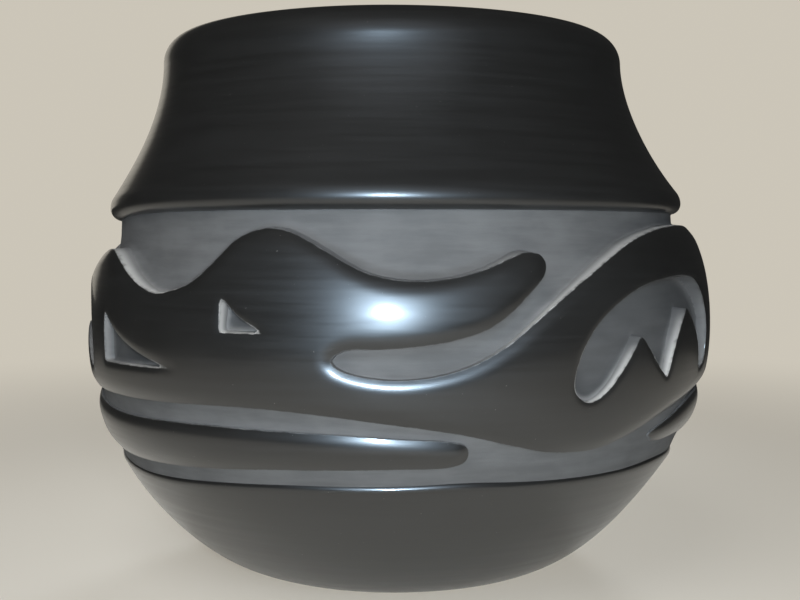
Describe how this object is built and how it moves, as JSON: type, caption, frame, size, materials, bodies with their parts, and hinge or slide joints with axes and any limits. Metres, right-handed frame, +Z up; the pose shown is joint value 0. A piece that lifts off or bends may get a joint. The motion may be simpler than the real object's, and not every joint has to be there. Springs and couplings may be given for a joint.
{
  "type": "blackware bowl",
  "caption": "Round hand-coiled blackware bowl with a flared neck and a carved serpent band in polished relief on a matte ground, for holding or display.",
  "frame": {"origin": "middle of the flat foot, on the surface that the bowl stands on", "axes": "+Z up through the middle of the mouth; the side of the carved band with the long plume faces -Y"},
  "size_m": [0.1896, 0.19, 0.1576],
  "materials": {
    "polished_slip": "gloss",
    "carved_ground": "matte"
  },
  "bodies": {
    "root": {"foot_disc": "polished_slip", "lower_wall": "polished_slip", "carved_wall": "carved_ground", "neck_collar": "polished_slip", "rim_coil": "polished_slip", "serpent_relief": "polished_slip", "lower_bar_front": "polished_slip", "lower_bar_back": "polished_slip"}
  },
  "joints": []
}
